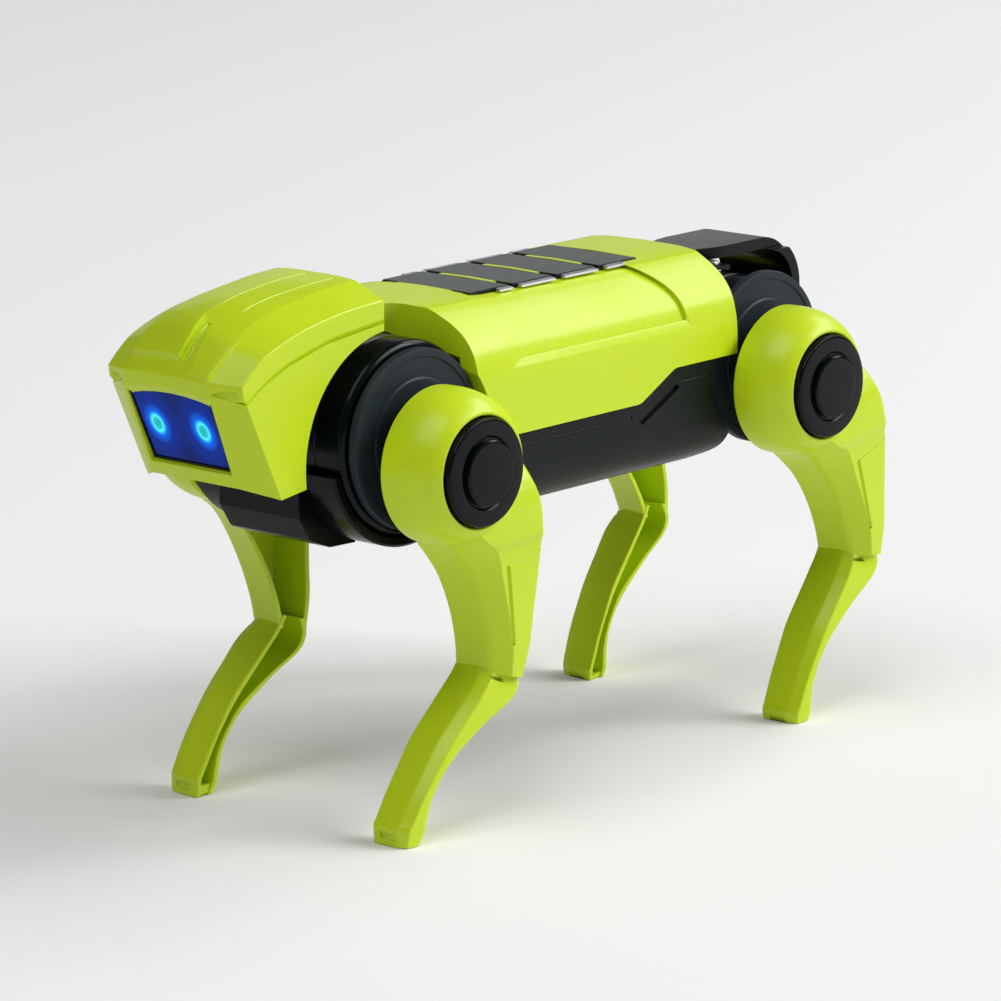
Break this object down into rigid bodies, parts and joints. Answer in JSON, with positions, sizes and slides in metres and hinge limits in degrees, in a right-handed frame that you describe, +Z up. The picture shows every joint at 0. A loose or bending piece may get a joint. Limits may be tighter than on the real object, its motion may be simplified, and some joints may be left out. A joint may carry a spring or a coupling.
{
  "type": "walking robot kit",
  "caption": "Dog-shaped walking robot kit: wedge head with a visor, solar panel along the back, geared crank drive in the body and bent legs on crank discs.",
  "frame": {"origin": "on the floor, under the middle of the whole robot", "axes": "-Y the way the robot faces, +X its left flank, +Z up"},
  "size_m": [0.07, 0.15, 0.09],
  "materials": {
    "lime_plastic": "moulded lime-green plastic, satin gloss",
    "black_plastic": "glossy black moulded plastic",
    "satin_black_plastic": "satin black moulded plastic",
    "solar_cell": "dark solar cells under clear resin",
    "visor_blue": "deep blue glossy lens",
    "led_glow": "glowing cyan lamp",
    "circuit_board": "green lacquered board",
    "steel": "bright zinc-plated steel",
    "brass": "turned brass",
    "white_nylon": "natural white nylon"
  },
  "bodies": {
    "robot_body": {"upper_body_shell": "lime_plastic", "lower_body_shell": "satin_black_plastic", "solar_panel": "solar_cell", "front_hip_housing_left": "black_plastic", "front_hip_housing_right": "black_plastic", "rear_hip_housing_left": "black_plastic", "rear_hip_housing_right": "black_plastic", "front_axle_bush_left": "brass", "front_axle_bush_right": "brass", "rear_axle_bush_left": "brass", "rear_axle_bush_right": "brass", "front_belly_cover": "black_plastic", "tail_hood": "black_plastic", "hood_screw_left": "steel", "hood_screw_right": "steel", "head_top_cover": "lime_plastic", "head_face_frame": "lime_plastic", "visor_lens": "visor_blue", "left_eye_led": "led_glow", "right_eye_led": "led_glow", "led_board": "circuit_board", "gear_plate_left": "satin_black_plastic", "gear_plate_right": "satin_black_plastic", "motor_can": "steel", "motor_end_cap": "white_nylon", "shell_screw_front_left": "steel", "shell_screw_front_right": "steel", "shell_screw_rear_left": "steel", "shell_screw_rear_right": "steel"},
    "front_crank_set": {"front_axle": "steel", "front_axle_gear": "white_nylon", "front_crank_left": "black_plastic", "front_crank_right": "black_plastic", "front_left_leg_screw": "steel", "front_right_leg_screw": "steel"},
    "rear_crank_set": {"rear_axle": "steel", "rear_axle_gear": "white_nylon", "rear_crank_left": "black_plastic", "rear_crank_right": "black_plastic", "rear_left_leg_screw": "steel", "rear_right_leg_screw": "steel"},
    "idler_1": {"idler_gear_1": "white_nylon"},
    "idler_2": {"idler_gear_2": "white_nylon"},
    "idler_3": {"idler_gear_3": "white_nylon"},
    "idler_4": {"idler_gear_4": "white_nylon"},
    "idler_5": {"idler_gear_5": "white_nylon"},
    "motor_shaft": {"motor_pinion": "brass"},
    "front_left_leg_set": {"front_left_leg": "lime_plastic", "front_left_leg_cap": "black_plastic"},
    "front_right_leg_set": {"front_right_leg": "lime_plastic", "front_right_leg_cap": "black_plastic"},
    "rear_left_leg_set": {"rear_left_leg": "lime_plastic", "rear_left_leg_cap": "black_plastic"},
    "rear_right_leg_set": {"rear_right_leg": "lime_plastic", "rear_right_leg_cap": "black_plastic"}
  },
  "joints": [
    {"name": "rear_crank_spin", "type": "hinge", "parent": "robot_body", "child": "rear_crank_set", "pos_m": [0, 0.0517, 0.0643], "axis": [1, 0, 0], "continuous": true},
    {"name": "front_crank_spin", "type": "hinge", "parent": "robot_body", "child": "front_crank_set", "pos_m": [0, -0.0367, 0.0643], "axis": [1, 0, 0], "continuous": true},
    {"name": "idler_1_spin", "type": "hinge", "parent": "robot_body", "child": "idler_1", "pos_m": [0, -0.02197, 0.0643], "axis": [1, 0, 0], "continuous": true},
    {"name": "idler_2_spin", "type": "hinge", "parent": "robot_body", "child": "idler_2", "pos_m": [0, -0.00723, 0.0643], "axis": [1, 0, 0], "continuous": true},
    {"name": "idler_3_spin", "type": "hinge", "parent": "robot_body", "child": "idler_3", "pos_m": [0, 0.0075, 0.0643], "axis": [1, 0, 0], "continuous": true},
    {"name": "idler_4_spin", "type": "hinge", "parent": "robot_body", "child": "idler_4", "pos_m": [0, 0.02223, 0.0643], "axis": [1, 0, 0], "continuous": true},
    {"name": "idler_5_spin", "type": "hinge", "parent": "robot_body", "child": "idler_5", "pos_m": [0, 0.03697, 0.0643], "axis": [1, 0, 0], "continuous": true},
    {"name": "motor_spin", "type": "hinge", "parent": "robot_body", "child": "motor_shaft", "pos_m": [0, 0.01337, 0.0557], "axis": [1, 0, 0], "continuous": true},
    {"name": "front_left_leg_pivot", "type": "hinge", "parent": "front_crank_set", "child": "front_left_leg_set", "pos_m": [0.026, -0.0367, 0.0609], "axis": [1, 0, 0], "continuous": true},
    {"name": "front_right_leg_pivot", "type": "hinge", "parent": "front_crank_set", "child": "front_right_leg_set", "pos_m": [-0.026, -0.0367, 0.0609], "axis": [1, 0, 0], "continuous": true},
    {"name": "rear_left_leg_pivot", "type": "hinge", "parent": "rear_crank_set", "child": "rear_left_leg_set", "pos_m": [0.026, 0.0517, 0.0609], "axis": [1, 0, 0], "continuous": true},
    {"name": "rear_right_leg_pivot", "type": "hinge", "parent": "rear_crank_set", "child": "rear_right_leg_set", "pos_m": [-0.026, 0.0517, 0.0609], "axis": [1, 0, 0], "continuous": true}
  ],
  "couplings": [
    {"joint": "front_crank_spin", "follows": "rear_crank_spin", "ratio": 1},
    {"joint": "idler_1_spin", "follows": "rear_crank_spin", "ratio": -1},
    {"joint": "idler_2_spin", "follows": "rear_crank_spin", "ratio": 1},
    {"joint": "idler_3_spin", "follows": "rear_crank_spin", "ratio": -1},
    {"joint": "idler_4_spin", "follows": "rear_crank_spin", "ratio": 1},
    {"joint": "idler_5_spin", "follows": "rear_crank_spin", "ratio": -1},
    {"joint": "motor_spin", "follows": "rear_crank_spin", "ratio": 2.5},
    {"joint": "front_left_leg_pivot", "follows": "rear_crank_spin", "ratio": -1},
    {"joint": "front_right_leg_pivot", "follows": "rear_crank_spin", "ratio": -1},
    {"joint": "rear_left_leg_pivot", "follows": "rear_crank_spin", "ratio": -1},
    {"joint": "rear_right_leg_pivot", "follows": "rear_crank_spin", "ratio": -1}
  ]
}
